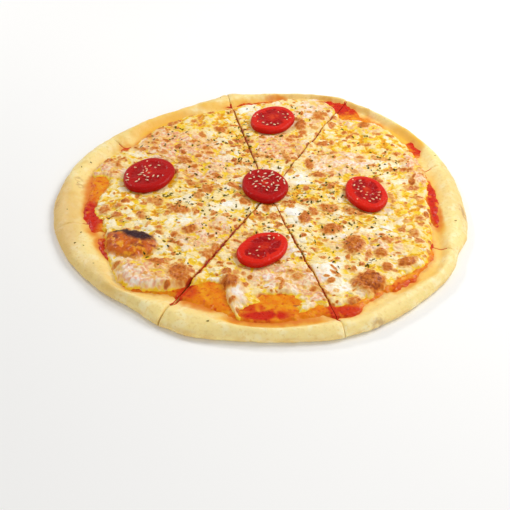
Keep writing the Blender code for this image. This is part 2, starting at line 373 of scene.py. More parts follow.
def dough_top(x, y):
    """Height of the dough's upper surface."""
    share = rim_share(x, y)
    angle = np.arctan2(y, x)
    crest = RIM_HEIGHT + 0.42 * np.sin(3 * angle + 0.8) + 0.28 * np.sin(7 * angle + 2.1)
    crest = crest + 0.45 * waves(x, y, 19, 3)
    rise = BASE_TOP + (crest - BASE_TOP) * ramp(share, -0.18, CREST_SHARE)
    beyond = np.clip((share - CREST_SHARE) / (1 - CREST_SHARE), 0, 1)
    fall = SIDE_HEIGHT + (crest - SIDE_HEIGHT) * (1 - beyond**1.7) ** 0.7
    bumps = 0.30 * waves(x, y, 9, 4) + 0.14 * waves(x, y, 4.2, 5) + 0.05 * waves(x, y, 1.7, 6)
    bumps = bumps * ramp(share, -0.05, 0.25) * ramp(share, 1.0, 0.8)
    return np.where(share < CREST_SHARE, rise, fall) + bumps


# %% [markdown]
# ## Sauce
# The sauce is a thin layer on the dough. It shows between the cheese and the rim, in the open
# cuts, and in pools where the cheese has drawn back. Its edge is ragged: the layer simply
# sinks into the dough where it ends, and the noise in its thickness draws the ragged line.

# %% Sauce surface
SAUCE_THICKNESS = 1.3
RED_SAUCE = (  # x, y, long radius, short radius, turn, strength
    (2, -137, 17, 5, 3, 1.0), (-8, -130, 10, 4, 0, 0.8), (-52, -116, 8, 6, 20, 0.7),
    (56, -131, 12, 6, 12, 0.9), (133, -10, 5, 34, 0, 1.0), (128, 74, 6, 13, 10, 1.0),
    (66, 139, 20, 12, -30, 1.0), (-132, -36, 7, 24, 8, 1.0), (-116, -72, 6, 14, 30, 0.9),
    (-32, 138, 40, 4, 16, 0.8), (8, 150, 12, 5, 0, 0.7), (100, -103, 12, 5, 40, 0.6),
    (-122, 68, 6, 12, 25, 0.5), (-92, -112, 8, 6, 0, 0.5),
)


def sauce_cover(x, y):
    """Distance inside the sauce's ragged edge, in mm; where it is red it runs up to the rim."""
    inside = edge_at(SAUCE, x, y) - np.hypot(x, y) - 6.5 * (1 - patches(x, y, RED_SAUCE))
    return inside + 1.8 * waves(x, y, 8, 11) + 0.9 * waves(x, y, 3, 12)


def sauce_top(x, y):
    """Height of the sauce's surface."""
    cover = sauce_cover(x, y)
    thickness = -0.5 + (SAUCE_THICKNESS + 0.5) * ramp(cover, -1.5, 3.0)
    lumps = 0.30 * waves(x, y, 4.5, 13) + 0.20 * waves(x, y, 2.0, 14)
    return dough_top(x, y) + thickness + lumps * ramp(cover, 0, 3)


# %% [markdown]
# ## Cheese
# Grated mozzarella melts into soft curds and strands, with fat in the valleys between them
# and blisters where steam has lifted it. Its height is the sauce's plus a thickness, and the
# thickness goes below nothing where there is no cheese, so pools and edges come by themselves.
# The big lumps, blisters and pools are short lists, placed as a cook's hand placed them.

# %% Cheese lumps, pools and blisters
LUMPS = (  # x, y, long radius, short radius, turn, rise in mm
    (-82, -107, 27, 19, -15, 3.6), (-60, -101, 11, 12, 20, 1.6), (53, 42, 24, 16, 10, 1.8),
    (-73, 60, 40, 26, -20, 1.0), (10, 62, 24, 22, 0, 1.1), (42, 124, 17, 30, -15, 1.5),
    (126, 36, 11, 24, 12, 1.6), (-129, 25, 13, 11, 0, 1.4), (47, -94, 12, 9, -20, 2.0),
    (-20, -118, 9, 22, 10, 1.5), (75, -105, 12, 11, -10, 2.2), (106, -82, 12, 9, 20, 1.2),
    (85, 102, 24, 9, -35, 1.2), (67, -64, 13, 12, 30, 1.4), (90, -62, 13, 10, 0, 1.2),
    (-45, -52, 24, 15, 30, 0.9), (28, -26, 11, 12, 0, 1.2), (28, 16, 9, 8, 0, 1.2),
    (-55, 100, 22, 12, 30, 0.7), (15, -100, 24, 10, 0, 1.0), (5, -18, 8, 7, 0, 1.0),
    (-110, 68, 12, 10, 30, 1.0), (100, 75, 20, 14, -40, 0.8), (-100, -20, 18, 10, -20, 0.7),
)
POOLS = (  # sauce seen through the cheese: x, y, long radius, short radius, turn
    (4, -135, 18, 10, 6), (12, -121, 12, 4, -8), (38, -141, 11, 4, 10), (-122, 66, 3, 7, -30),
    (-134, 6, 11, 8, 70), (133, 60, 6, 4, 20),
)
WHITE = (  # thick, fresh cheese: x, y, long radius, short radius, turn, strength
    (-90, -110, 20, 12, -15, 0.7), (15, -104, 22, 8, 0, 0.5), (-18, -124, 6, 14, 8, 0.8),
    (45, -94, 12, 11, -20, 1.0), (25, -30, 9, 13, 20, 0.9), (28, 18, 9, 8, 0, 0.9),
    (60, 40, 26, 13, 15, 0.5), (38, 130, 13, 18, -20, 0.5), (-22, -118, 7, 18, 10, 0.8),
    (-28, -20, 16, 8, 10, 0.6), (-60, -32, 12, 7, 10, 0.6), (5, -16, 9, 7, 0, 0.5),
    (-108, 66, 10, 8, 20, 0.6), (17, -70, 6, 10, -20, 0.8), (60, -52, 14, 8, 20, 0.5),
    (-12, 125, 12, 8, 10, 0.5), (52, -108, 10, 7, 20, 0.8), (90, -45, 12, 8, 10, 0.5),
)
PINK = (  # cheese with sauce mixed into it, as above
    (-74, 62, 40, 24, -25, 1.0), (-48, 32, 22, 20, 0, 0.8), (11, 66, 23, 21, 0, 1.0),
    (42, 122, 15, 28, -15, 0.7), (60, 43, 27, 18, 10, 0.8), (80, 104, 22, 9, -30, 0.8),
    (126, 36, 12, 26, 12, 1.0), (-130, 25, 15, 14, 0, 1.0), (-80, -106, 29, 20, -15, 1.0),
    (-44, -53, 24, 16, 30, 0.8), (15, -100, 28, 13, 0, 0.9), (76, -62, 27, 13, 0, 0.7),
    (-20, -60, 12, 14, 0, 0.3), (35, -110, 12, 16, 20, 0.9), (-10, 40, 14, 14, 0, 0.4),
    (-20, -120, 10, 20, 5, 0.6), (96, -10, 10, 30, 0, 0.2), (75, -106, 14, 12, 0, 0.6),
)
YELLOW = (  # cheese with much fat on it, as above
    (-55, 106, 32, 15, 25, 1.0), (90, 84, 36, 17, -35, 0.9), (113, -12, 13, 26, 5, 1.0),
    (42, 4, 24, 12, 20, 0.8), (-97, -18, 28, 13, -10, 0.8), (-10, -42, 14, 20, 10, 0.6),
    (-20, 85, 14, 30, 10, 0.6), (60, 75, 20, 14, -10, 0.7), (110, -55, 20, 20, 0, 0.5),
    (-128, 0, 8, 14, 0, 0.9), (-128, 50, 12, 14, 0, 0.8), (57, -50, 18, 12, 10, 0.5),
    (75, -25, 14, 9, -10, 0.9), (-60, 8, 20, 10, 10, 0.5), (-75, -70, 14, 12, 0, 0.4),
)
BLISTERS = (  # x, y, long radius, short radius, turn, rise in mm, browning from 0 to 1
    (-65, -26, 9, 5, -8, 0.9, 0.75), (-85, -15, 7, 5, 0, 0.7, 0.65), (-52, -6, 5, 4, 0, 0.5, 0.6),
    (-40, 92, 6, 4, -15, 0.7, 0.75), (-70, 114, 5, 3.5, 15, 0.6, 0.8), (-82, 100, 6, 4, 30, 0.6, 0.7),
    (-74, 61, 3.5, 4, 0, 0.6, 0.9), (-65, 40, 5.5, 5, 0, 0.9, 0.7), (-55, 82, 3, 5, 20, 0.5, 0.75),
    (30, 101, 5, 8, -10, 0.9, 0.85), (46, 117, 4.5, 9, -15, 0.8, 0.7), (48, 71, 6, 4, 0, 0.7, 0.75),
    (57, 101, 3.5, 5, 0, 0.6, 0.7), (86, 103, 6, 5, 0, 0.7, 0.8), (77, 90, 4, 3, 0, 0.5, 0.6),
    (107, 87, 4, 3.5, 0, 0.5, 0.7), (36, 40, 3.5, 9, 5, 0.5, 0.8), (43, 25, 6, 3.5, -10, 0.5, 0.8),
    (50, -18, 8, 6, 0, 0.9, 0.7), (70, -23, 10, 5, -10, 0.7, 0.65), (31, -33, 5, 7, -10, 0.9, 0.9),
    (38, -25, 4, 4, 0, 0.5, 0.7), (51, -45, 9, 6, 20, 0.9, 0.75), (66, -64, 8, 11, -10, 1.3, 0.9),
    (85, -71, 5, 5, 0, 0.7, 0.75), (75, -103, 11, 11, 0, 1.5, 1.0), (103, -81, 8, 5, 30, 0.9, 0.85),
    (88, -87, 4, 5, 0, 0.6, 0.75), (90, -57, 4, 4, 0, 0.5, 0.7), (112, -47, 4, 5, 0, 0.5, 0.6),
    (-23, -107, 7, 7, 0, 1.0, 0.9), (-26, -97, 4, 4, 0, 0.6, 0.8), (-35, -72, 4, 6, 0, 0.5, 0.7),
    (4, -17, 6, 4, 0, 0.7, 0.7), (7, -31, 4, 4, 0, 0.5, 0.7), (-55, -50, 6, 5, 10, 0.7, 0.75),
    (-41, -78, 4, 5, 0, 0.5, 0.7), (-59, -101, 8, 12, 15, 1.0, 0.85), (-76, -88, 9, 4, -10, 0.7, 0.9),
    (-130, 38, 6, 4, 10, 0.6, 0.85), (-15, -13, 5, 4, 0, 0.5, 0.7), (-45, 2, 5, 4, 0, 0.6, 0.75),
    (24, -100, 5, 4, 0, 0.6, 0.6), (-122, -28, 5, 6, 0, 0.6, 0.7), (22, -125, 4, 3, 20, 0.5, 0.9),
    (115, 12, 5, 4, 0, 0.5, 0.5), (-18, 75, 5, 5, 0, 0.5, 0.6), (17, 50, 3, 10, 20, 0.5, 0.6),
    (-40, -118, 6, 4, 0, 0.6, 0.7), (63, -121, 6, 4, 10, 0.7, 0.7), (98, 52, 5, 4, 0, 0.4, 0.5),
)
SMALL_BLISTERS = 300
random = np.random.default_rng(7)
spread = 138 * np.sqrt(random.random(SMALL_BLISTERS))
bearing = 2 * math.pi * random.random(SMALL_BLISTERS)
small = np.stack([
    spread * np.cos(bearing), spread * np.sin(bearing),
    random.uniform(1.5, 4.4, SMALL_BLISTERS), random.uniform(1.2, 2.8, SMALL_BLISTERS),
    random.uniform(0, 180, SMALL_BLISTERS), random.uniform(0.15, 0.6, SMALL_BLISTERS),
    random.uniform(0.35, 0.95, SMALL_BLISTERS),
], 1)
ALL_BLISTERS = [*BLISTERS, *small.tolist()]
print(len(ALL_BLISTERS), "blisters,", len(LUMPS), "lumps and", len(POOLS), "pools")

# %% [markdown]
# One blister has burnt: a dome the size of a walnut whose far side has charred. It is worked
# out on its own, because it is steeper, rougher and darker than the rest.

# %% The burnt blister
BURNT = (-98, -68, 20, 15, -14)  # x, y, long radius, short radius, turn
BURNT_RISE = 4.8


def burnt_blister(x, y):
    """The burnt dome's share of its full height, how burnt its skin is, and how charred."""
    bx, by, long_radius, short_radius, turn = BURNT
    a = math.radians(turn)
    dx, dy = x - bx, y - by
    u = (dx * math.cos(a) + dy * math.sin(a)) / long_radius
    v = (dy * math.cos(a) - dx * math.sin(a)) / short_radius
    away = np.hypot(u, v) + 0.07 * waves(x, y, 6, 31) + 0.04 * waves(x, y, 2.5, 32)
    dome = np.sqrt(np.clip(1 - away**2, 0, 1)) * 0.8 + 0.2 * ramp(away, 1.15, 0.6)
    skin = ramp(away, 1.16, 0.90)
    arc = ramp(v + 0.12 * waves(x, y, 4, 33), 0.25, 0.62) * ramp(away, 1.12, 1.0)
    core = patch(x, y, (-93, -61, 12, 6.5, -24, 1.0)) * ramp(waves(x, y, 3, 34), -1.2, -0.4)
    return dome, skin, np.clip(np.maximum(arc, core), 0, 1) * skin


# %% [markdown]
# The cheese's height and its looks come from the same lumps, so they are worked out together:
# fat lies in the valleys, browning is on the tops of blisters, and sauce stains thin places.
# The deepest valleys turn a darker orange, partly fat and partly painted shade.

# %% Cheese surface and looks
CHEESE_THICKNESS = 1.7


def cheese_cover(x, y):
    """Distance inside the cheese's ragged edge, in mm, negative over pools and beyond."""
    inside = edge_at(CHEESE, x, y) - np.hypot(x, y)
    for px, py, long_radius, short_radius, turn in POOLS:
        a = math.radians(turn)
        dx, dy = x - px, y - py
        u = (dx * math.cos(a) + dy * math.sin(a)) / long_radius
        v = (dy * math.cos(a) - dx * math.sin(a)) / short_radius
        inside = np.minimum(inside, (np.hypot(u, v) - 1) * min(long_radius, short_radius))
    return inside + 1.6 * waves(x, y, 7, 21) + 1.0 * waves(x, y, 2.8, 22)


def cheese_surface(x, y):
    """Height of the cheese and the fields that its material reads, at plan points."""
    cover = cheese_cover(x, y)
    warp_x = x + 1.6 * waves(x, y, 7, 41)
    warp_y = y + 1.6 * waves(x, y, 7, 42)
    curd_far, curd_number = cells(warp_x / 1.35, warp_y, 6.2, 43)
    curd = 1 - np.clip(curd_far, 0, 1) ** 2
    crumb_far, crumb_number = cells(warp_x / 1.3, warp_y, 2.9, 46)
    crumb = 1 - np.clip(crumb_far, 0, 1) ** 2
    strand = 1 - np.abs(waves(warp_x / 1.2, warp_y * 1.8, 5.0, 47))
    strand = strand**3
    relief = (1.4 * waves(x, y, 15, 48) + 1.8 * (curd - 0.6) + 0.75 * (crumb - 0.6)
              + 1.0 * (strand - 0.4) + 0.12 * waves(x, y, 1.3, 49))
    big = np.zeros(x.shape)
    for px, py, long_radius, short_radius, turn, rise in LUMPS:
        big = np.maximum(big, patch(x, y, (px, py, long_radius, short_radius, turn, rise)))
    white = patches(x, y, WHITE)
    relief = relief * (1 - 0.45 * white) + big

    brown = np.zeros(x.shape)
    wobble = 0.16 * waves(x, y, 3.1, 51) + 0.10 * waves(x, y, 1.4, 52)
    for px, py, long_radius, short_radius, turn, rise, browning in ALL_BLISTERS:
        reach = 1.6 * max(long_radius, short_radius)
        near = np.nonzero((np.abs(x - px) < reach) & (np.abs(y - py) < reach))
        if not len(near[0]):
            continue
        a = math.radians(turn)
        dx, dy = x[near] - px, y[near] - py
        u = (dx * math.cos(a) + dy * math.sin(a)) / long_radius
        v = (dy * math.cos(a) - dx * math.sin(a)) / short_radius
        away = np.hypot(u, v) + wobble[near]
        relief[near] += 1.4 * rise * ramp(away, 1.25, 0.2)
        crust = ramp(away, 1.30, 0.55) * (0.82 + 0.18 * ramp(away, 0.25, 0.7))
        brown[near] = np.maximum(brown[near], browning * crust)

    dome, skin, char = burnt_blister(x, y)
    bubble_far, _ = cells(x, y, 3.4, 53)
    relief = relief * (1 - 0.6 * skin) + BURNT_RISE * dome
    relief = relief + skin * 0.8 * (0.6 - np.clip(bubble_far, 0, 1) ** 2)

    away = tomato_distance(x, y)
    relief = relief * ramp(away, -1.0, 5.0) * ramp(cover, -1, 8)
    thickness = -0.6 + (CHEESE_THICKNESS + 0.6) * ramp(cover, 0.0, 4.2)
    below = sauce_top(x, y)
    settled = below * 0.3 + (BASE_TOP + SAUCE_THICKNESS) * 0.7
    height = np.where(cover > 4, settled, below + (settled - below) * ramp(cover, 0, 4))
    height = height + thickness + relief

    low = 0.62 * curd_far + 0.28 * crumb_far + 0.22 * (1 - strand) + 0.16 * waves(x, y, 2.2, 54)
    valley = ramp(low, 0.50, 0.74)
    yellow = patches(x, y, YELLOW)
    pink = patches(x, y, PINK)
    mottled = 0.5 + 0.5 * waves(x, y, 6.0, 55)
    patchy = ramp(waves(x, y, 11, 60), -0.5, 0.5)
    oil = valley * (0.62 + 0.30 * patchy + 0.5 * yellow) + 0.60 * yellow * ramp(mottled, 0.38, 0.72)
    oil = np.clip(oil + 0.04 * yellow, 0, 1) * (1 - 0.8 * white) * (1 - 0.45 * pink)
    grain = 0.5 + 0.5 * waves(warp_x, warp_y, 2.6, 56)
    blotches = ramp(grain + 0.25 * waves(x, y, 1.5, 61), 0.30, 0.75)
    stain = np.clip(pink * (0.20 + 0.80 * blotches + 0.25 * valley) * (1 - 0.35 * white), 0, 1)
    thin = ramp(cover + 0.8 * waves(x, y, 3, 68), 3.0, 1.2)
    oil = np.maximum(oil, 0.55 * thin)
    stain = stain * (1 - 0.8 * thin)
    toasted = (curd_number < 0.15) * ramp(curd_far + 0.12 * waves(x, y, 2, 57), 0.66, 0.15)
    speck = (crumb_number < 0.10) * ramp(crumb_far, 0.6, 0.2)
    scorch = np.maximum(0.7 * toasted, 0.65 * speck)
    brown = np.maximum(brown, scorch * (1 - 0.8 * white))
    brown = brown * (0.88 + 0.30 * waves(x, y, 1.5, 59) + 0.22 * waves(x, y, 4, 69))
    fields = {
        "white": np.clip(white * (0.6 + 0.5 * mottled) + 0.5 * ramp(curd_number, 0.6, 0.8), 0, 1),
        "stain": stain,
        "oil": oil,
        "brown": np.clip(brown, 0, 1) * (1 - skin),
        "skin": skin,
        "char": char,
        "cover": cover,
    }
    return height, fields


# %% [markdown]
# ## Materials
# Each is a Principled shader. Its colours are written as the hex codes a painter would pick
# and are turned to linear light by one function. `add` puts one node in a tree with its
# settings and its links, and `colour_stack` lays colours over each other, each through a mask.

# %% Colour and node helpers
def paint(code):
    """A hex colour as linear red, green, blue and alpha."""
    parts = [int(code[i:i + 2], 16) / 255 for i in (1, 3, 5)]
    linear = [p / 12.92 if p <= 0.04045 else ((p + 0.055) / 1.055) ** 2.4 for p in parts]
    return (*linear, 1.0)


def add(tree, kind, inputs=None, **settings):
    """Adds a node: settings are its properties, inputs its values or the sockets it takes."""
    node = tree.nodes.new(kind)
    for name, value in settings.items():
        setattr(node, name, value)
    for socket, value in (inputs or {}).items():
        if isinstance(value, bpy.types.NodeSocket):
            tree.links.new(value, node.inputs[socket])
        else:
            node.inputs[socket].default_value = value
    return node


def new_material(name, **numbers):
    """A material's tree and shader, with numbers set on the shader's own sockets."""
    material = bpy.data.materials.new(name)
    material.use_nodes = True
    tree = material.node_tree
    shader = tree.nodes["Principled BSDF"]
    for socket, value in numbers.items():
        shader.inputs[socket.replace("_", " ")].default_value = value
    return material, tree, shader


def colour_stack(tree, base, layers):
    """Lays colours over a base, each where its mask says; returns the last colour socket."""
    below = paint(base)
    for code, mask in layers:
        inputs = {0: mask, 6: below, 7: paint(code)}
        below = add(tree, "ShaderNodeMix", inputs, data_type="RGBA").outputs[2]
    return below


def field(tree, name):
    """The socket that gives a piece's own attribute."""
    return add(tree, "ShaderNodeAttribute", attribute_name=name).outputs["Fac"]


def band(tree, name, low, high):
    """A piece's own attribute as a mask, 0 below low and 1 above high."""
    return add(tree, "ShaderNodeMapRange", {0: field(tree, name), 1: low, 2: high}).outputs[0]


def grain(tree, size, low, high, detail=2.0):
    """A mask from 3-D noise whose lumps are a size in mm, 0 below low and 1 above high."""
    place = add(tree, "ShaderNodeTexCoord").outputs["Object"]
    noise = add(tree, "ShaderNodeTexNoise",
                {"Vector": place, "Scale": 1 / (size * MM), "Detail": detail})
    mask = add(tree, "ShaderNodeMapRange", {0: noise.outputs["Fac"], 1: low, 2: high},
               interpolation_type="SMOOTHSTEP")
    return mask.outputs[0]


def product(tree, first, second):
    """Two masks multiplied."""
    return add(tree, "ShaderNodeMath", {0: first, 1: second}, operation="MULTIPLY").outputs[0]


# %% [markdown]
# ### Baked dough
# Wheat dough baked pale in a deck oven: cream, a little golden where the oven's top heat
# reached it, with oil and sauce soaked in along the sauce's edge and brown spots outside.
# The golden tone also fades towards the front, a painted gradient of light that makes the
# near rim paler.
# Its skin is dry but smooth, so the gloss is broad and soft.

# %% Baked dough material
dough, tree, shader = new_material(
    "baked_dough", Roughness=0.5, IOR=1.45, Subsurface_Weight=0.1, Subsurface_Scale=0.002)
shader.inputs["Subsurface Radius"].default_value = (1.0, 0.6, 0.3)
colour = colour_stack(tree, "#FAE092", (
    ("#FDEBB0", grain(tree, 9, 0.45, 0.7)),
    # golden baking tone, fading towards the front as painted light
    ("#E9C264", product(tree, grain(tree, 14, 0.48, 0.72), field(tree, "golden"))),
    ("#F2D486", grain(tree, 2.5, 0.50, 0.72)),
    ("#F2B830", field(tree, "oil")),
    ("#E27A08", field(tree, "soaked")),
    # darker, browner rim: partly browning, partly painted shade on its outer side and its left
    ("#DDA850", field(tree, "tan_and_shade")),
    ("#9A5420", field(tree, "spots")),
))
tree.links.new(colour, shader.inputs["Base Color"])
relief = add(tree, "ShaderNodeBump", {
    "Strength": 0.25, "Distance": 0.3 * MM, "Height": grain(tree, 1.2, 0.3, 0.7)})
tree.links.new(relief.outputs[0], shader.inputs["Normal"])

# %% [markdown]
# ### Tomato sauce
# Crushed tomato cooked with oil: wet red pulp with small glints, orange where oil has parted
# from it. The gloss is uneven, since pulp breaks the wet film.

# %% Tomato sauce material
sauce, tree, shader = new_material(
    "tomato_sauce", IOR=1.4, Specular_IOR_Level=0.25, Subsurface_Weight=0.1,
    Subsurface_Scale=0.001)
colour = colour_stack(tree, "#E67A04", (
    ("#F0A214", grain(tree, 7, 0.36, 0.74)),
    ("#D2480A", grain(tree, 3.2, 0.50, 0.78)),
    ("#CE2408", field(tree, "red")),
    ("#A40C04", product(tree, field(tree, "red"), grain(tree, 3, 0.52, 0.75))),
))
tree.links.new(colour, shader.inputs["Base Color"])
wet = add(tree, "ShaderNodeMapRange", {0: grain(tree, 2.5, 0.3, 0.7), 3: 0.22, 4: 0.5})
tree.links.new(wet.outputs[0], shader.inputs["Roughness"])
relief = add(tree, "ShaderNodeBump", {
    "Strength": 0.3, "Distance": 0.3 * MM, "Height": grain(tree, 1.4, 0.3, 0.7)})
tree.links.new(relief.outputs[0], shader.inputs["Normal"])

# %% [markdown]
# ### Melted mozzarella
# Cream-coloured melted cheese, white where it is thick and fresh, pink where the sauce has
# mixed into it, yellow to orange where fat stands in the valleys, brown on the blisters. The
# darker orange in the deepest valleys is partly fat and partly painted shade.

# %% Melted mozzarella material
cheese, tree, shader = new_material(
    "melted_mozzarella", IOR=1.45, Specular_IOR_Level=0.35, Subsurface_Weight=0.08,
    Subsurface_Scale=0.001)
shader.inputs["Subsurface Radius"].default_value = (1.0, 0.7, 0.4)
golden = band(tree, "brown", 0.02, 0.30)
brown = band(tree, "brown", 0.22, 0.60)
dark_brown = band(tree, "brown", 0.62, 1.0)
oil = band(tree, "oil", 0.05, 0.50)
# deepest valleys and oily cut edges: fat, and partly painted shade in the valleys
deep_oil_and_shade = band(tree, "oil", 0.60, 1.0)
skin_field = field(tree, "skin")
colour = colour_stack(tree, "#FBE2A0", (
    ("#FFFBEE", field(tree, "white")),
    ("#E99A70", field(tree, "stain")),
    ("#F8D02C", oil),
    # darker orange: fat, partly painted shade in the valleys
    ("#E89C10", deep_oil_and_shade),
    ("#F0BE68", golden),
    ("#D2741C", brown),
    ("#923C06", dark_brown),
    ("#A0260A", field(tree, "gash")),
    ("#D2640A", skin_field),
    ("#F0A01C", product(tree, skin_field, grain(tree, 5, 0.48, 0.66))),
    ("#8E2604", product(tree, skin_field, grain(tree, 6, 0.52, 0.70))),
    ("#340E16", field(tree, "char")),
))
tree.links.new(colour, shader.inputs["Base Color"])
wet = add(tree, "ShaderNodeMapRange", {0: grain(tree, 3, 0.3, 0.7), 3: 0.24, 4: 0.5})
tree.links.new(wet.outputs[0], shader.inputs["Roughness"])
relief = add(tree, "ShaderNodeBump", {
    "Strength": 0.35, "Distance": 0.3 * MM, "Height": grain(tree, 1.3, 0.3, 0.7)})
tree.links.new(relief.outputs[0], shader.inputs["Normal"])

# %% [markdown]
# ## The eight slices
# Each layer now has its surface function, so a slice is only a matter of choosing rings fine
# enough for what shows: half a millimetre or so on the cheese, one on the rim, and wide steps
# where a layer is hidden by the next.

# %% [markdown]
# ### Dough
# Sauce and oil creep up the inner slope of the rim in some places and not in others, and the
# oven browns one stretch more than the next. A darker, browner colour on the rim's outer side
# and over a broad stretch on its left is partly such browning and partly painted shade. Each
# such place is a soft oval patch whose edge noise breaks up. Beyond the last ring the mesh
# turns down round the side and back to the tip underneath, so that every slice is a closed body.

# %% Dough slices
SOAKED_RIM = (  # sauce in the dough: x, y, long radius, short radius, turn, strength
    (15, -146, 62, 10, 0, 1.0), (141, -42, 10, 32, 5, 1.0), (-138, 0, 9, 30, 0, 1.0),
    (-48, -130, 24, 9, 18, 1.0), (112, -102, 14, 8, 40, 0.6), (-112, 88, 12, 26, -40, 0.5),
    (10, 152, 14, 6, 0, 0.8), (-126, -62, 7, 14, 25, 0.8), (100, 118, 14, 10, -45, 0.8),
)
OILY_RIM = (  # oil on the inner slope, as above
    (-96, 105, 34, 16, 42, 1.0), (122, 88, 24, 12, -40, 1.0), (138, -56, 12, 26, 0, 0.5),
    (0, -143, 50, 7, 0, 0.5), (-38, 138, 30, 8, 15, 0.5), (142, 18, 10, 22, 0, 0.4),
    (112, -100, 26, 10, 45, 0.5), (-125, -60, 12, 22, 25, 0.3),
)
# Darker stretches of the rim: partly baked colour; the broad one on the left is painted shade, where
# the rim turns away from the light.
TAN_AND_SHADE_RIM = (  # stretches baked a shade darker, as above
    (-158, -35, 18, 60, 14, 1.0), (-125, 95, 12, 30, -40, 0.3), (-120, -105, 14, 34, 48, 0.5),
    (154, 10, 10, 50, 0, 0.5), (-60, 140, 40, 8, 25, 0.4),
)
RIM_SPOTS = (  # brown spots on the crest and the side, as above
    (154, -18, 3, 9, 10, 0.5), (78, -140, 5, 2.5, 25, 0.5), (137, -87, 6, 3, 60, 0.4),
    (-149, 12, 3, 3, 0, 0.4), (-147, 5, 3, 3, 0, 0.4), (-84, 124, 10, 3, 30, 0.6),
    (-160, -20, 2, 6, 0, 0.3),
)


def dough_slice(number):
    """One slice's dough, from its tip out over the rim, round its side and underneath."""
    tip, directions = slice_rays(number, 130)
    sauce_length = ray_length(tip, directions, SAUCE)
    rim_length = ray_length(tip, directions, RIM)
    hidden = np.linspace(0.04, 1, 14)[:, None] * (sauce_length - 9)
    shares = np.sin(np.linspace(0, math.pi / 2, 46))[:, None]
    shown = sauce_length - 9 + shares * (rim_length - sauce_length + 9)
    lengths = np.concatenate([hidden, shown[1:]])
    x, y = plan_points(tip, directions, lengths)
    ragged = 0.6 * waves(x, y, 13, 61) + 0.3 * waves(x, y, 5, 62)
    x, y = plan_points(tip, directions, lengths + ragged * ramp(rim_share(x, y), 0.3, 1.0))
    z = dough_top(*plan_points(tip, directions, lengths))
    open_first, open_second = CUTS[number][2], CUTS[(number + 1) % len(CUTS)][2]
    for cut, opened in ((number, max(open_first, 0.5)), (number + 1, max(open_second, 0.5))):
        z = z - 1.3 * opened * np.exp(-cut_distance(cut, x, y) / 1.2)
    turns = np.linspace(0, math.pi / 2, 8)[1:, None]
    under = rim_length + ragged[-1] - SIDE_INSET * (1 - np.cos(turns))
    under_x, under_y = plan_points(tip, directions, under)
    under_z = z[-1] * (1 - np.sin(turns))
    z[-1] = np.minimum(z[-1], SIDE_HEIGHT + 0.3)
    x, y, z = (np.concatenate(pair) for pair in ((x, under_x), (y, under_y), (z, under_z)))

    share = rim_share(x, y)
    past_sauce = -sauce_cover(x, y)
    oily = patches(x, y, OILY_RIM)
    soaky = patches(x, y, SOAKED_RIM)
    # The rim's outer side gets a darker, browner colour: partly browning, partly painted shade on the
    # side turned away from the light.
    tan_and_shade = ramp(share, 0.9, 1.0) * ramp(waves(x, y, 11, 64), -0.5, 0.6)
    spots = patches(x, y, RIM_SPOTS) * ramp(waves(x, y, 2.5, 65), -0.5, 0.3)
    fields = {
        "oil": ramp(past_sauce + 1.5 * waves(x, y, 6, 70), 9 + 12 * oily, 0 + 6 * oily)
               * (0.50 + 0.45 * np.maximum(oily, soaky)),
        "soaked": ramp(past_sauce + waves(x, y, 5, 63), 3 + 6 * soaky, 0.0) * (0.4 + 0.6 * soaky),
        # Golden tone: random baking, plus a fade towards the front that is painted light.
        "golden": ramp(waves(x, y, 30, 66) + 0.006 * y, -0.4, 0.5),
        "tan_and_shade": np.maximum(0.4 * tan_and_shade, 0.55 * patches(x, y, TAN_AND_SHADE_RIM)),
        "spots": spots,
    }
    return slice_mesh(f"dough_{number + 1}", tip, x, y, z, fields, (BASE_TOP, 0.0), dough)


dough_pieces = [dough_slice(number) for number in range(len(CUTS))]
print("dough:", sum(len(p.data.vertices) for p in dough_pieces), "points")

# %% [markdown]
# ### Sauce
# The sauce slice is a lid and a flat base a little below the dough's surface. Where the sauce
# ends, the lid sinks into the dough. It is red where it lies thick and along the cuts, where
# the wheel pressed it out, and orange where oil has parted from it.

# %% Sauce slices
SAUCE_BOTTOM = BASE_TOP - 0.6


def sauce_slice(number):
    """One slice's sauce, fine only where the cheese lets it show."""
    tip, directions = slice_rays(number, 150)
    cheese_length = ray_length(tip, directions, CHEESE)
    reach = ray_length(tip, directions, SAUCE) + 3
    start = np.minimum(cheese_length - 34, 84)
    hidden = np.linspace(0.05, 1, 40)[:, None] * start
    shown = start + np.linspace(0, 1, 88)[1:, None] * (reach - start)
    lengths = np.concatenate([hidden, shown])
    x, y = plan_points(tip, directions, lengths)
    z = sauce_top(x, y)
    bottom_z = np.full((1, x.shape[1]), SAUCE_BOTTOM)
    z = np.maximum(z, bottom_z + 0.1)
    red = patches(x, y, RED_SAUCE) * ramp(waves(x, y, 6, 67), -0.9, -0.2)
    for cut in (number, number + 1):
        red = np.maximum(red, 0.9 * ramp(cut_distance(cut, x, y), 4.5, 2.0))
    x, y = (np.concatenate([v, v[-1:]]) for v in (x, y))
    z = np.concatenate([z, bottom_z])
    fields = {"red": np.concatenate([red, red[-1:]])}
    return slice_mesh(f"sauce_layer_{number + 1}", tip, x, y, z, fields,
                      (BASE_TOP + SAUCE_THICKNESS, SAUCE_BOTTOM), sauce)


sauce_pieces = [sauce_slice(number) for number in range(len(CUTS))]
print("sauce:", sum(len(p.data.vertices) for p in sauce_pieces), "points")

# %% [markdown]
# ### Cheese
# The cheese has the finest mesh, since its folds and curds are what one sees. A wheel leaves
# each cut edge rounded down, oily and a little toasted, with sauce showing in the groove where
# the cut stands open. At two edges it dragged the cheese up into a raised lip instead.

# %% Cheese slices
CHEESE_BOTTOM = 4.2  # mm, inside the dough, so that no thin sheet shows past the edge
RAISED_LIPS = ((0, 1), (5, 5))  # slice and cut where the wheel dragged the cheese up


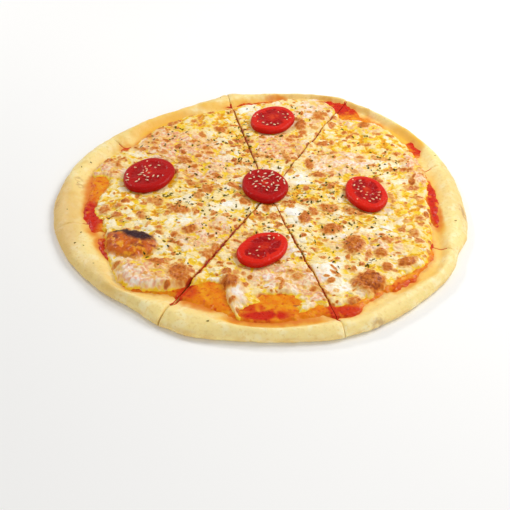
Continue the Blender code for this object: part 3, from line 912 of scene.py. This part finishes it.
def cheese_slice(number):
    """One slice's cheese, fine all over, with soft lips along its open cuts."""
    tip, directions = slice_rays(number, 160)
    reach = ray_length(tip, directions, CHEESE) + 5
    lengths = np.linspace(0.01, 1, 245)[:, None] * reach
    x, y = plan_points(tip, directions, lengths)
    z, fields = cheese_surface(x, y)
    for cut in (number, number + 1):
        angle, gap, opened = CUTS[cut % len(CUTS)]
        away = np.clip(cut_distance(cut, x, y) - gap, 0, 99)
        opened = opened * (0.35 + 0.65 * ramp(np.hypot(x, y), 25, 55))
        width = opened * (0.55 + 0.6 * ramp(waves(x, y, 9, 62), -0.5, 0.7))
        z = z - 1.6 * opened * ramp(away, 2.2 * width + 0.1, 0) * ramp(fields["cover"], 0, 3)
        edge = ramp(away, 1.6 * width + 0.1, 0)
        fields["oil"] = np.maximum(fields["oil"], 0.9 * edge)
        toasted = 0.8 * edge * ramp(waves(x, y, 5, 64), -0.2, 0.3)
        fields["brown"] = np.maximum(fields["brown"], toasted)
        gash = ramp(away, 1.2 * width, 0.3 * width) * opened
        if (number, cut) in RAISED_LIPS:
            z = z + 1.7 * ramp(away, 6, 0.8) * ramp(fields["cover"], 0, 5) * opened
            gash = 0 * gash
        fields["gash"] = np.maximum(fields.get("gash", 0), gash)
    z = np.maximum(z, CHEESE_BOTTOM + 0.1)
    bottom_z = np.full((1, x.shape[1]), CHEESE_BOTTOM)
    x, y = (np.concatenate([v, v[-1:]]) for v in (x, y))
    z = np.concatenate([z, bottom_z])
    del fields["cover"]
    fields = {name: np.concatenate([v, v[-1:]]) for name, v in fields.items()}
    return slice_mesh(f"cheese_layer_{number + 1}", tip, x, y, z, fields,
                      (float(z[0].mean()), CHEESE_BOTTOM), cheese)


cheese_pieces = [cheese_slice(number) for number in range(len(CUTS))]
print("cheese:", sum(len(p.data.vertices) for p in cheese_pieces), "points")

# %% [markdown]
# ### Fresh tomato
# A slice across the fruit: a band of flesh under the skin, a paler core, and between them
# pockets of wet, darker gel with the seeds in it. All of it is glossy, the gel most.

# %% Fresh tomato material
tomato, tree, shader = new_material(
    "fresh_tomato", IOR=1.38, Specular_IOR_Level=0.25, Subsurface_Weight=0.05,
    Subsurface_Scale=0.001)
colour = colour_stack(tree, "#B40804", (
    ("#DE2008", field(tree, "bright")),
    ("#D83A12", product(tree, field(tree, "core"), grain(tree, 3, 0.3, 0.7))),
    ("#A40808", product(tree, field(tree, "gel"), grain(tree, 4, 0.2, 0.5))),
    ("#C8320E", product(tree, field(tree, "bright"), grain(tree, 2.2, 0.6, 0.75))),
    ("#B00406", field(tree, "skin")),
))
tree.links.new(colour, shader.inputs["Base Color"])
wet = add(tree, "ShaderNodeMapRange", {0: field(tree, "gel"), 3: 0.30, 4: 0.10})
tree.links.new(wet.outputs[0], shader.inputs["Roughness"])
relief = add(tree, "ShaderNodeBump", {
    "Strength": 0.5, "Distance": 0.4 * MM, "Height": grain(tree, 2.0, 0.3, 0.7)})
tree.links.new(relief.outputs[0], shader.inputs["Normal"])

# %% [markdown]
# Each slice is a disc of rings: a cut face, a rounded edge of skin and a flat base. The
# pockets are given as angles and shares of the radius, with noise in both, and the gel in
# them lies half a millimetre lower than the flesh round it.

# %% Tomato slices
TOMATO_BOTTOM = 8.0  # mm, inside the cheese
TOMATO_TOP = 14.0
TOMATO_ROUND = 2.8   # how far the side bulges past the cut face
POCKETS = (  # for each slice: pockets as start and end angle, inner and outer share
    ((20, 100, 0.35, 0.82), (120, 215, 0.30, 0.82), (235, 350, 0.35, 0.84)),
    ((-25, 60, 0.46, 0.86), (80, 125, 0.45, 0.83), (140, 212, 0.48, 0.86), (228, 320, 0.40, 0.84)),
    ((10, 90, 0.30, 0.84), (115, 200, 0.30, 0.84), (220, 340, 0.35, 0.84)),
    ((90, 178, 0.28, 0.86), (190, 252, 0.42, 0.80), (268, 360, 0.28, 0.87), (15, 80, 0.34, 0.84)),
    ((50, 150, 0.34, 0.84), (195, 282, 0.28, 0.86), (-10, 40, 0.32, 0.87), (295, 342, 0.30, 0.82)),
)
BRIGHTNESS = (0.0, 0.8, 0.0, 0.9, 1.0)      # each slice's, from ripe dark red to scarlet
CORE_SIZE = (0.13, 0.26, 0.12, 0.20, 0.24)  # each slice's, as a share of its radius


def tomato_piece(number, row):
    """A tomato slice: its cut face with core and pockets, its round skin side, and its base."""
    sides, rings = 180, 44
    angle = np.linspace(0, 2 * math.pi, sides, endpoint=False)[None, :]
    outline = tomato_outline(row, angle) * (1 + 0.012 * np.sin(5 * angle + number))
    share = np.linspace(0.02, 1, rings)[:, None]
    radius = share * (outline - TOMATO_ROUND)
    x, y = row[0] + radius * np.cos(angle), row[1] + radius * np.sin(angle)
    degrees = np.degrees(angle) + 9 * waves(x, y, 9, 71 + number)
    depth = share + 0.05 * waves(x, y, 5, 76 + number)
    gel = np.zeros(x.shape)
    for start, end, inner, outer in POCKETS[number]:
        inside = (degrees - start) % 360
        width = end - start
        side = np.minimum(inside, width - inside) * share * outline / 57.3
        across = np.minimum(depth - inner, outer - depth) * outline
        pocket = np.where(inside < width, np.minimum(side, across), -1)
        gel = np.maximum(gel, ramp(pocket, -0.2, 1.6))
    core = ramp(depth, CORE_SIZE[number] * 1.6, CORE_SIZE[number] * 0.5)
    z = TOMATO_TOP - 0.25 * share**6 + 0.35 * waves(x, y, 14, 81 + number)
    z = z - 0.5 * gel + 0.45 * gel * waves(x, y, 3.0, 91) + 0.08 * waves(x, y, 2.0, 92)
    turns = np.linspace(0, math.pi, 15)[1:, None]
    half = (z[-1] - TOMATO_BOTTOM) / 2
    bulge = np.sin(turns) ** 0.8 * TOMATO_ROUND
    side_x = row[0] + (outline - TOMATO_ROUND + bulge) * np.cos(angle)
    side_y = row[1] + (outline - TOMATO_ROUND + bulge) * np.sin(angle)
    side_z = TOMATO_BOTTOM + half + half * np.cos(turns)
    points = np.concatenate([np.stack([x, y, z], -1).reshape(-1, 3),
                             np.stack([side_x, side_y, side_z], -1).reshape(-1, 3)])
    total = rings + len(turns)
    here = (np.arange(total - 1)[:, None] * sides + np.arange(sides)).ravel()
    beside = (np.arange(total - 1)[:, None] * sides + (np.arange(sides) + 1) % sides).ravel()
    faces = np.stack([here, here + sides, beside + sides, beside], 1).tolist()
    faces.append(list(range(sides)))
    faces.append(list(range(total * sides - 1, (total - 1) * sides - 1, -1)))
    side_skin = np.repeat(ramp(np.cos(turns), 0.9, 0.0), sides, 1)
    none = np.zeros((len(turns), sides))
    bright = BRIGHTNESS[number] * ramp(depth, 0.5, 0.85)
    fields = {
        "gel": np.concatenate([gel, none]).ravel(),
        "core": np.concatenate([core, none]).ravel(),
        "bright": np.concatenate([bright, BRIGHTNESS[number] + none]).ravel(),
        "skin": np.concatenate([0 * gel, side_skin * (1 - 0.4 * BRIGHTNESS[number])]).ravel(),
    }
    return finish_mesh(f"tomato_slice_{number + 1}", points, faces, fields, tomato)


tomato_pieces = [tomato_piece(number, row) for number, row in enumerate(TOMATO_SLICES)]
print("tomato:", sum(len(p.data.vertices) for p in tomato_pieces), "points")

# %% [markdown]
# ## Things that are scattered
# Herb flakes and seeds repeat by the hundred, which is what Geometry Nodes are for. One tree
# serves them all: it scatters points over a ground, puts a small rounded shape on each, gives
# each its own size and turn, and makes them real mesh at the end. The ground is a sheet laid
# just on the surface, with an attribute that says how thickly things lie there.

# %% The scattering tree
def scatter_tree(name, material, facets):
    """A Geometry Nodes tree that strews small long grains over a ground."""
    tree = bpy.data.node_groups.new(name, "GeometryNodeTree")
    face = tree.interface
    face.new_socket("Ground", in_out="INPUT", socket_type="NodeSocketGeometry")
    for label, value in (("Thickness of strewing", 1000.0), ("Closest", 0.001),
                         ("Length", 0.0015), ("Width", 0.001), ("Height", 0.0005),
                         ("Unevenness", 0.4), ("Tilt", 0.3)):
        socket = face.new_socket(label, in_out="INPUT", socket_type="NodeSocketFloat")
        socket.default_value = value
    face.new_socket("Seed", in_out="INPUT", socket_type="NodeSocketInt")
    face.new_socket("Grains", in_out="OUTPUT", socket_type="NodeSocketGeometry")
    given = add(tree, "NodeGroupInput").outputs
    strewn = add(tree, "GeometryNodeInputNamedAttribute", {"Name": "strewn"}, data_type="FLOAT")
    points = add(tree, "GeometryNodeDistributePointsOnFaces", {
        "Mesh": given["Ground"], "Distance Min": given["Closest"],
        "Density Max": given["Thickness of strewing"],
        "Density Factor": strewn.outputs["Attribute"],
        "Seed": given["Seed"]}, distribute_method="POISSON")
    ball = add(tree, "GeometryNodeMeshUVSphere", {
        "Segments": facets, "Rings": facets - 2, "Radius": 0.5})
    place = add(tree, "GeometryNodeInputPosition").outputs[0]
    parts = add(tree, "ShaderNodeSeparateXYZ", {0: place}).outputs
    slim = add(tree, "ShaderNodeMapRange", {
        0: parts[0], 1: -0.5, 2: 0.5, 3: 0.45, 4: 1.15}).outputs[0]
    slimmed = [product(tree, parts[axis], slim) for axis in (1, 2)]
    tapered = add(tree, "ShaderNodeCombineXYZ", {0: parts[0], 1: slimmed[0], 2: slimmed[1]})
    drop = add(tree, "GeometryNodeSetPosition", {
        "Geometry": ball.outputs[0], "Position": tapered.outputs[0]})
    size = add(tree, "ShaderNodeCombineXYZ", {
        0: given["Length"], 1: given["Width"], 2: given["Height"]}).outputs[0]
    low = add(tree, "ShaderNodeMath", {0: 1.0, 1: given["Unevenness"]}, operation="SUBTRACT")
    high = add(tree, "ShaderNodeMath", {0: 1.0, 1: given["Unevenness"]}, operation="ADD")
    lengths = [low.outputs[0], high.outputs[0]]
    uneven = add(tree, "FunctionNodeRandomValue", {
        2: lengths[0], 3: lengths[1], "Seed": given["Seed"]}, data_type="FLOAT")
    scale = add(tree, "ShaderNodeVectorMath", {
        0: size, "Scale": uneven.outputs[1]}, operation="SCALE")
    down = add(tree, "ShaderNodeMath", {0: given["Tilt"], 1: -1.0}, operation="MULTIPLY").outputs[0]
    least = add(tree, "ShaderNodeCombineXYZ", {0: down, 1: down, 2: 0.0}).outputs[0]
    most = add(tree, "ShaderNodeCombineXYZ", {
        0: given["Tilt"], 1: given["Tilt"], 2: 2 * math.pi}).outputs[0]
    turned = add(tree, "FunctionNodeRandomValue", {
        0: least, 1: most, "Seed": given["Seed"]}, data_type="FLOAT_VECTOR")
    laid = add(tree, "FunctionNodeRotateEuler", {
        "Rotation": points.outputs["Rotation"], "Rotate By": turned.outputs[0]},
        space="LOCAL", rotation_type="EULER")
    grains = add(tree, "GeometryNodeInstanceOnPoints", {
        "Points": points.outputs["Points"], "Instance": drop.outputs[0],
        "Rotation": laid.outputs[0], "Scale": scale.outputs[0]})
    real = add(tree, "GeometryNodeRealizeInstances", {0: grains.outputs[0]})
    smooth = add(tree, "GeometryNodeSetShadeSmooth", {0: real.outputs[0]})
    finished = add(tree, "GeometryNodeSetMaterial", {0: smooth.outputs[0], "Material": material})
    add(tree, "NodeGroupOutput", {0: finished.outputs[0]})
    return tree


def strew(name, ground, tree, **values):
    """Runs a scattering tree on a ground and returns the grains as one plain mesh piece."""
    modifier = ground.modifiers.new("strew", "NODES")
    modifier.node_group = tree
    for item in tree.interface.items_tree:
        label = item.name.replace(" ", "_")
        if item.in_out == "INPUT" and label in values:
            modifier[item.identifier] = values[label]
    seen = ground.evaluated_get(bpy.context.evaluated_depsgraph_get())
    mesh = bpy.data.meshes.new_from_object(seen)
    ground.modifiers.remove(modifier)
    mesh.name = name
    piece = bpy.data.objects.new(name, mesh)
    bpy.context.scene.collection.objects.link(piece)
    bpy.data.objects.remove(ground)
    print(name, len(mesh.polygons), "faces")
    return piece


def ground_sheet(x, y, z, strewn):
    """A sheet over plan points in mm, for a scattering tree to strew things on."""
    rows, columns = x.shape
    here = (np.arange(rows - 1)[:, None] * columns + np.arange(columns - 1)).ravel()
    faces = np.stack([here, here + 1, here + columns + 1, here + columns], 1)
    mean = strewn.ravel()[faces].mean(1)
    points = (np.stack([x, y, z], -1).reshape(-1, 3) - (MIDDLE[0], MIDDLE[1], 0)) * MM
    mesh = bpy.data.meshes.new("ground")
    mesh.from_pydata(points.tolist(), [], faces[mean > 0.01].tolist())
    attribute = mesh.attributes.new("strewn", "FLOAT", "POINT")
    attribute.data.foreach_set("value", strewn.ravel().astype(np.float32))
    ground = bpy.data.objects.new("ground", mesh)
    bpy.context.scene.collection.objects.link(ground)
    return ground


# %% [markdown]
# ### Dried oregano
# Rubbed dried leaves: flat crumbs one or two millimetres long, olive green to brown. They
# lie thickest round the middle of the pizza and thin out towards the rim.

# %% Oregano flakes
oregano, tree, shader = new_material("dried_oregano", Roughness=0.8, Specular_IOR_Level=0.1)
colour = colour_stack(tree, "#6E6214", (
    ("#463A0C", grain(tree, 5, 0.45, 0.6)), ("#96701E", grain(tree, 3.3, 0.55, 0.7))))
tree.links.new(colour, shader.inputs["Base Color"])
HERBS = (
    (42, 2, 32, 15, 10, 1.0), (-58, -12, 26, 14, -10, 0.8), (-22, 55, 16, 34, 15, 0.7),
    (0, 0, 75, 70, 0, 0.35), (60, -55, 34, 34, 0, 0.35), (-15, 98, 18, 22, 0, 0.45),
    (-66, -72, 20, 22, 0, 0.35), (98, 45, 18, 16, 0, 0.5), (72, -82, 9, 6, 20, 0.9),
    (-20, -60, 16, 24, 0, 0.25), (-80, 72, 34, 24, 0, 0.25), (80, 74, 34, 24, 0, 0.12),
    (-90, -40, 30, 20, 0, 0.2), (25, -72, 6, 18, 20, 0.5), (0, 120, 50, 20, 0, 0.15),
)
step = np.arange(-135, 136, 1.5)
x, y = np.meshgrid(step, step)
height, fields = cheese_surface(x, y)
clear = ramp(tomato_distance(x, y), 0.5, 1.5) * (fields["cover"] > 3) * (1 - fields["skin"])
clumps = ramp(waves(x, y, 9, 101), -0.6, 0.7)
ground = ground_sheet(x, y, height + 0.15, patches(x, y, HERBS) * clear * (0.25 + 0.75 * clumps))
flakes = strew("oregano_flakes", ground, scatter_tree("strew_oregano", oregano, 6),
               Thickness_of_strewing=120000.0, Closest=0.0013, Length=0.0024, Width=0.0015,
               Height=0.0005, Unevenness=0.6, Tilt=0.45, Seed=4)

# %% [markdown]
# ### Flecks on the rim
# A few crumbs of the same herb lie on the bare rim, most of them on its left side. They come
# from the same tree, over a ground made from the dough's own height.

# %% Flecks on the rim
x, y = np.meshgrid(np.arange(-165, 166, 2.0), np.arange(-165, 170, 2.0))
share = rim_share(x, y)
on_rim = ramp(share, 0.15, 0.3) * ramp(share, 0.9, 0.75)
FLECKED = ((-140, -40, 40, 75, 20, 1.0), (-150, 60, 30, 40, 0, 0.7))
thickly = 0.25 + 0.75 * patches(x, y, FLECKED)
ground = ground_sheet(x, y, dough_top(x, y) + 0.1, on_rim * thickly)
flecks = strew("rim_flecks", ground, scatter_tree("strew_flecks", oregano, 6),
               Thickness_of_strewing=3300.0, Closest=0.004, Length=0.0017, Width=0.0009,
               Height=0.0004, Unevenness=0.45, Tilt=0.2, Seed=11)

# %% [markdown]
# ### Sesame seeds
# Hulled sesame: flat cream drops three millimetres long, strewn on the middle tomato slice
# and a few on the left one.

# %% Sesame seeds
sesame, tree, shader = new_material("hulled_sesame", Roughness=0.45, IOR=1.45,
                                    Subsurface_Weight=0.1, Subsurface_Scale=0.001)
colour = colour_stack(tree, "#F2DDBB", (("#E3BE92", grain(tree, 3, 0.45, 0.65)),))
tree.links.new(colour, shader.inputs["Base Color"])
SESAME = (
    (6, 6, 13, 12, 0, 1.0), (-6, 12, 12, 10, 0, 0.55), (-99, 9, 12, 7, 20, 0.6),
    (-88, 14, 9, 8, 0, 0.35),
)
x, y = np.meshgrid(np.arange(-120, 25, 1.0), np.arange(-20, 45, 1.0))
inside = ramp(tomato_distance(x, y), -1.0, -2.5)
ground = ground_sheet(x, y, np.full(x.shape, TOMATO_TOP + 0.35), patches(x, y, SESAME) * inside)
seeds = strew("sesame_seeds", ground, scatter_tree("strew_sesame", sesame, 8),
              Thickness_of_strewing=110000.0, Closest=0.0026, Length=0.0033, Width=0.0014,
              Height=0.0009, Unevenness=0.15, Tilt=0.25, Seed=3)

# %% [markdown]
# ### Tomato seeds
# Small pale seeds in the gel of the slices that are cut through their pockets.

# %% Tomato seeds
pip_skin, tree, shader = new_material("tomato_seed", Roughness=0.3, IOR=1.4, Coat_Weight=0.4,
                                      Subsurface_Weight=0.15, Subsurface_Scale=0.001)
colour = colour_stack(tree, "#EC9870", (("#F6CC9C", grain(tree, 4, 0.35, 0.6)),))
tree.links.new(colour, shader.inputs["Base Color"])
PIPS = (
    (19, 110, 8, 8, 0, 1.0), (-6, 103, 7, 8, 0, 1.0), (5, 95, 13, 6, 0, 1.0),
    (74, 7, 8, 8, 0, 1.0), (84, -10, 9, 8, 0, 1.0), (73, -6, 7, 8, 0, 1.0),
    (-4, -80, 9, 7, 30, 1.0), (6, -64, 12, 6, 10, 0.9), (-96, 22, 14, 12, 0, 0.4),
)
x, y = np.meshgrid(np.arange(-120, 105, 1.0), np.arange(-100, 130, 1.0))
inside = ramp(tomato_distance(x, y), -2.5, -3.5)
ground = ground_sheet(x, y, np.full(x.shape, TOMATO_TOP - 0.2), patches(x, y, PIPS) * inside)
pips = strew("tomato_seeds", ground, scatter_tree("strew_pips", pip_skin, 8),
             Thickness_of_strewing=60000.0, Closest=0.0032, Length=0.0026, Width=0.0017,
             Height=0.0009, Unevenness=0.2, Tilt=0.2, Seed=9)

# %% [markdown]
# ## Floor and light
# A pale floor takes the pizza's shadow. A soft lamp to the right, a little behind, gives the
# light its direction. A small one behind on the left makes glints in the wet places, and a
# weak one in front lifts the near side of the rim. An even white world fills the rest, and
# together they light a level surface about as brightly as its colour is written.

# %% Floor, world and lamps
FLOOR_SIZE = 6.0
LAMPS = (  # name, place in metres, size in metres, watts
    ("softbox_right", Vector((0.55, 0.25, 0.65)), 0.40, 4.7),
    ("softbox_left", Vector((-0.70, 0.60, 0.70)), 0.12, 3.4),
    ("softbox_front", Vector((0.15, -0.80, 0.30)), 0.50, 1.2),
)
WORLD_LIGHT = 0.455

floor_mesh = bpy.data.meshes.new("floor")
corners = [(sx * FLOOR_SIZE, sy * FLOOR_SIZE, 0) for sx, sy in ((-1, -1), (1, -1), (1, 1), (-1, 1))]
floor_mesh.from_pydata(corners, [], [(0, 1, 2, 3)])
floor = bpy.data.objects.new("floor", floor_mesh)
bpy.context.scene.collection.objects.link(floor)
floor_material, tree, shader = new_material("pale_floor", Roughness=0.9)
shader.inputs["Base Color"].default_value = paint("#F8F7F5")
shader.inputs["Specular IOR Level"].default_value = 0.1
floor_mesh.materials.append(floor_material)

world = bpy.data.worlds.new("white_room")
bpy.context.scene.world = world
world.use_nodes = True
background = world.node_tree.nodes["Background"]
background.inputs["Color"].default_value = (1, 1, 1, 1)
seen = add(world.node_tree, "ShaderNodeLightPath").outputs["Is Camera Ray"]
level = add(world.node_tree, "ShaderNodeMapRange", {0: seen, 3: WORLD_LIGHT, 4: 1.0})
world.node_tree.links.new(level.outputs[0], background.inputs["Strength"])

for name, place, lamp_size, watts in LAMPS:
    lamp_data = bpy.data.lights.new(name, "AREA")
    lamp_data.size, lamp_data.energy = lamp_size, watts
    lamp = bpy.data.objects.new(name, lamp_data)
    bpy.context.scene.collection.objects.link(lamp)
    lamp.location = place
    lamp.rotation_euler = (-place).to_track_quat("-Z", "Y").to_euler()

# %% [markdown]
# ## Handing the pieces over
# Every piece rides on the one body, and the solids of the model that it stands for are
# hidden.

# %% Ride and hide the model's solids
for number in range(len(CUTS)):
    for piece, node, slot in (
            (dough_pieces[number], f"crust_{number + 1}", "crust"),
            (sauce_pieces[number], f"sauce_{number + 1}", "sauce"),
            (cheese_pieces[number], f"cheese_{number + 1}", "cheese")):
        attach(piece, "root")
        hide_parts(node)
for number, piece in enumerate(tomato_pieces):
    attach(piece, "root")
    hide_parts(f"tomato_{number + 1}")
for piece in (flakes, flecks, seeds, pips):
    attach(piece, "root")
